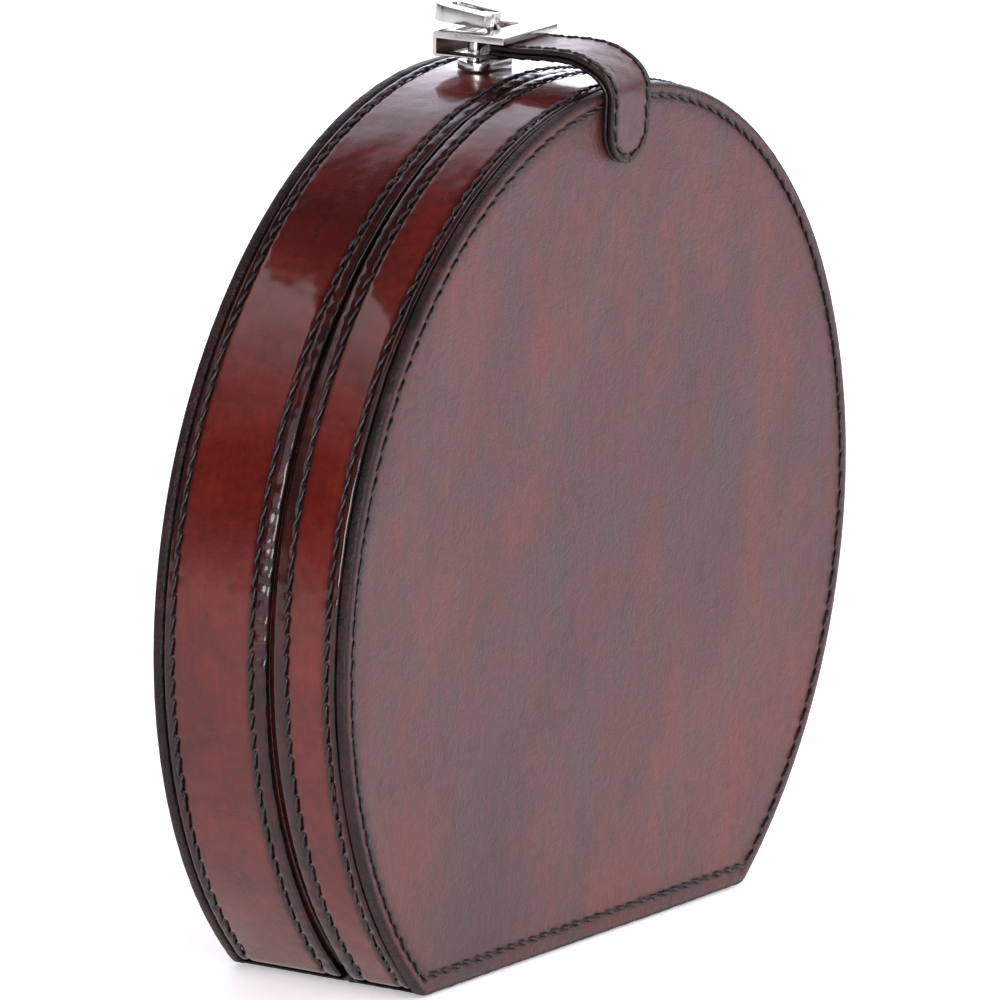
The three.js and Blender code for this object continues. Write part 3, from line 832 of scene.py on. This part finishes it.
STRAP_PATH, STRAP_PATH_LENGTH = strap_seam()
STRAP_COUNT = round(float(STRAP_PATH_LENGTH[-1]) / (4.4 * MM))
STRAP_PITCH = float(STRAP_PATH_LENGTH[-1]) / STRAP_COUNT


def strap_thread(name, depth, inward):
    """The strap's stitches, on the outer surface or, inward, on the underside."""
    at = (np.arange(STRAP_COUNT) + 0.5) * STRAP_PITCH
    x = np.interp(at, STRAP_PATH_LENGTH, STRAP_PATH[:, 0])
    s = np.interp(at, STRAP_PATH_LENGTH, STRAP_PATH[:, 1])
    if inward:
        keep = s > TIP_HALF + 16 * MM
        x, s = x[keep], s[keep]
    y, z, normal = on_strap(s, depth)
    step = 0.3 * MM
    places = []
    for shift in (-step, step):
        px = np.interp(at + shift, STRAP_PATH_LENGTH, STRAP_PATH[:, 0])
        ps = np.interp(at + shift, STRAP_PATH_LENGTH, STRAP_PATH[:, 1])
        if inward:
            px, ps = px[keep], ps[keep]
        py, pz, _ = on_strap(ps, depth)
        places.append(np.stack([px, py, pz], 1))
    ahead = flatten(places[1] - places[0])
    up = np.stack([0 * x, normal[:, 0], normal[:, 1]], 1) * (-1 if inward else 1)
    across = np.cross(up, ahead)
    centres = np.stack([x, y, z], 1)
    return thread(name, centres, ahead, across, up, THREADS, 1.06 * STRAP_PITCH)


OUTER_THICK = TIP_HIGH.y - TIP_LOW.y
UNDER_DEPTH = TIP_UNDER_LOW.y - STRAP_FRONT - 0.15 * MM
UNDER_THICK = TIP_UNDER_HIGH.y - TIP_UNDER_LOW.y + 0.1 * MM
for piece, nodes, slot in (
    (strap_layer("strap_top", 0.0, OUTER_THICK, True, STRAP),
     ("strap_tip_outer", "strap_outer"), "band_leather"),
    (strap_layer("strap_under", UNDER_DEPTH, UNDER_THICK, False, UNDER),
     ("strap_tip_backing", "strap_backing"), "base_leather"),
    (strap_thread("thread_strap", 0.12 * MM, False), (), "base_leather"),
    (strap_thread("thread_strap_under", UNDER_DEPTH + UNDER_THICK - 0.15 * MM, True), (), "base_leather"),
):
    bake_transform(piece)
    if nodes:
        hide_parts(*nodes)

# ---- the lock -----------------------------------------------------------------------------------

def softened(node, name, width, body, material):
    """A copy of the node's shape with its hard edges rounded."""
    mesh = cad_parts[node].data.copy()
    mesh.name = name
    mesh.materials.clear()
    mesh.materials.append(material)
    work = bmesh.new()
    work.from_mesh(mesh)
    bmesh.ops.remove_doubles(work, verts=work.verts, dist=1e-6)
    bmesh.ops.dissolve_limit(work, angle_limit=math.radians(4), verts=work.verts, edges=work.edges)
    work.to_mesh(mesh)
    work.free()
    obj = bpy.data.objects.new(name, mesh)
    bpy.context.scene.collection.objects.link(obj)
    bevel = obj.modifiers.new("edges", "BEVEL")
    bevel.width = width
    bevel.segments = 3
    bevel.limit_method = "ANGLE"
    bevel.angle_limit = math.radians(38)
    bevel.harden_normals = True
    mesh.polygons.foreach_set("use_smooth", [True] * len(mesh.polygons))
    place(obj, body, "nickel", node)
    return obj


# The inside of the folded plate is painted dark brown: painted shade inside the fold, with a painted
# reflection of the leather, on a second material.
clasp = softened("clasp_plate", "clasp_metal", 0.3 * MM, "strap", NICKEL)
clasp.data.materials.append(PAINTED_SHADE_NICKEL)
MIDDLE_Z = (CLASP_LOW.z + CLASP_HIGH.z) / 2
LEAF_REACH = 0.8 * MM  # least distance of a leaf's inner side from the middle
# Faces inside the fold and on the inner side of its rear wall get the painted-shade nickel.
for side in clasp.data.polygons:
    faces_in = side.normal.z * (MIDDLE_Z - side.center.z) > LEAF_REACH
    rear_wall_inside = side.normal.y < -0.9 and side.center.y > CLASP_HIGH.y - 2 * MM
    side.material_index = int(faces_in or rear_wall_inside)
softened("lock_loop", "loop_metal", 0.4 * MM, "loop", NICKEL)
softened("lock_post", "post_metal", 0.22 * MM, "rear_shell", NICKEL)
softened("lock_base_plate", "base_metal", 0.4 * MM, "rear_shell", NICKEL)
softened("loop_pin", "pin_metal", 0.12 * MM, "rear_shell", NICKEL)
softened("lock_back_plate", "back_metal", 0.2 * MM, "rear_shell", NICKEL)

for node, material in (
    ("front_panel_board", CARD), ("rear_panel_board", CARD),
    ("front_panel_lining", CLOTH), ("rear_panel_lining", CLOTH),
    ("front_band_lining", CLOTH), ("rear_band_lining", CLOTH),
):
    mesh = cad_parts[node].data
    mesh.materials.clear()
    mesh.materials.append(material)

# ---- camera, floor and light --------------------------------------------------------------------
AZIMUTH = math.radians(-59.76)
ELEVATION = math.radians(12.286)
ROLL = math.radians(2.373)
DISTANCE = 5.4456
LENS = 751.1  # mm, on a 36 mm sensor
MIDDLE = Vector((0, 0, 0.12))  # the middle of the box, which the lights point at
AIM = Vector((-0.419 * RADIUS, FACE_LOW.y, 0.987 * RADIUS))


def add_camera():
    back = Vector((
        math.sin(AZIMUTH) * math.cos(ELEVATION),
        -math.cos(AZIMUTH) * math.cos(ELEVATION),
        math.sin(ELEVATION),
    ))
    right = (-back).cross(Vector((0, 0, 1))).normalized()
    up = right.cross(-back)
    x_axis = math.cos(ROLL) * right + math.sin(ROLL) * up
    y_axis = -math.sin(ROLL) * right + math.cos(ROLL) * up
    turn = Matrix((x_axis, y_axis, back)).transposed().to_4x4()
    data = bpy.data.cameras.new("camera")
    data.lens = LENS
    data.sensor_width = 36
    data.clip_end = 50
    camera = bpy.data.objects.new("camera", data)
    camera.matrix_world = Matrix.Translation(AIM + back * DISTANCE) @ turn
    bpy.context.scene.collection.objects.link(camera)
    bpy.context.scene.camera = camera
    return back


def softbox(name, direction, distance, width, height, power, colour):
    """A soft light, placed by the direction from the box towards it."""
    data = bpy.data.lights.new(name, "AREA")
    data.shape = "RECTANGLE"
    data.size, data.size_y = width, height
    data.energy = power
    data.color = colour
    light = bpy.data.objects.new(name, data)
    way = Vector(direction).normalized()
    light.location = MIDDLE + way * distance
    across = way.cross(Vector((0, 0, 1))).normalized()
    light.rotation_euler = Matrix((-across, across.cross(way), way)).transposed().to_euler()
    light.visible_camera = False
    bpy.context.scene.collection.objects.link(light)
    return light


def slab(name, corners, material):
    obj = make_object(name, corners, [(0, 1, 2, 3)], material)
    return obj


TO_CAMERA = add_camera()
FLOOR = 9  # metres to each side
FLOOR_Z = -0.5 * MM
slab("floor", [(-FLOOR, -FLOOR, FLOOR_Z), (FLOOR, -FLOOR, FLOOR_Z),
               (FLOOR, FLOOR, FLOOR_Z), (-FLOOR, FLOOR, FLOOR_Z)],
     paper("floor_paper", (0.92, 0.92, 0.94)))

softbox("fill_left", (-0.95, -0.62, 0.55), 3.0, 3.0, 2.6, 35, (0.98, 0.96, 1.0))
softbox("fill_front", (0.45, -1.0, 0.6), 3.0, 3.0, 2.6, 61, (0.90, 0.87, 0.97))


def mirrored(lean):
    """Where the camera sees to in the wall of the box that leans this far to the left, in degrees."""
    normal = Vector((-math.sin(math.radians(lean)), 0, math.cos(math.radians(lean))))
    return 2 * normal.dot(TO_CAMERA) * normal - TO_CAMERA


def glowing(name, colour):
    look = Look(name)
    grain = look.remap(look.noise(2), 0.3, 0.7, 0.96, 1.0)
    return look.done(Base_Color=(0.0, 0.0, 0.0), Roughness=1.0, Specular_IOR_Level=0.0,
                     Emission_Color=colour,
                     Emission_Strength=look.math("MULTIPLY", look.attribute("shine"), grain))


def bounce_board(name, leans, width, distance, shine, colour):
    """A curved soft panel above the box that fades from one edge to the other."""
    points = []
    for lean in leans:
        way = mirrored(lean).normalized()
        across = way.cross(Vector((0, 0, 1))).normalized() * width / 2
        points += [MIDDLE + way * distance + across,
                   MIDDLE + way * distance - across]
    board = make_object(name, points, grid_faces(len(leans), 2, False, False),
                        glowing(name + "_glow", colour), {"shine": np.repeat(shine, 2)})
    board.visible_camera = False


bounce_board("back_board", (-8, 0, 5, 10, 15, 20, 25, 30, 35), 3.0, 2.6,
             (4.0, 3.6, 2.7, 2.2, 1.8, 1.5, 1.15, 0.6, 0.0), (0.87, 0.87, 1.0))
bounce_board("side_board", (48.5, 50, 54, 58, 64, 70, 76, 80, 84), 1.6, 2.2,
             (1.6, 2.6, 1.9, 1.1, 0.4, 0.15, 0.15, 0.4, 0.8), (1.0, 0.95, 1.0))
above = softbox("fill_above", (-0.75, -0.25, 0.8), 3.0, 1.6, 1.6, 30, (1.0, 0.93, 0.9))
above.visible_glossy = False
lip = softbox("fill_lip", (-0.84, -0.56, 0.2), 3.0, 1.2, 1.2, 55, (0.97, 0.98, 1.0))
lip.visible_diffuse = False
softbox("strap_board", (0.84, -0.12, 0.42), 2.6, 2.2, 1.2, 14, (0.93, 0.93, 1.0))

world = bpy.data.worlds.new("studio")
world.use_nodes = True
sky = world.node_tree
seen = sky.nodes["Background"]
seen.inputs["Color"].default_value = (1.0, 1.0, 1.0, 1)
room = sky.nodes.new("ShaderNodeBackground")
room.inputs["Color"].default_value = (0.07, 0.07, 0.075, 1)
ray = sky.nodes.new("ShaderNodeLightPath")
choice = sky.nodes.new("ShaderNodeMixShader")
sky.links.new(ray.outputs["Is Camera Ray"], choice.inputs["Fac"])
sky.links.new(room.outputs["Background"], choice.inputs[1])
sky.links.new(seen.outputs["Background"], choice.inputs[2])
sky.links.new(choice.outputs["Shader"], sky.nodes["World Output"].inputs["Surface"])
bpy.context.scene.world = world
bpy.context.scene.view_settings.view_transform = "Standard"
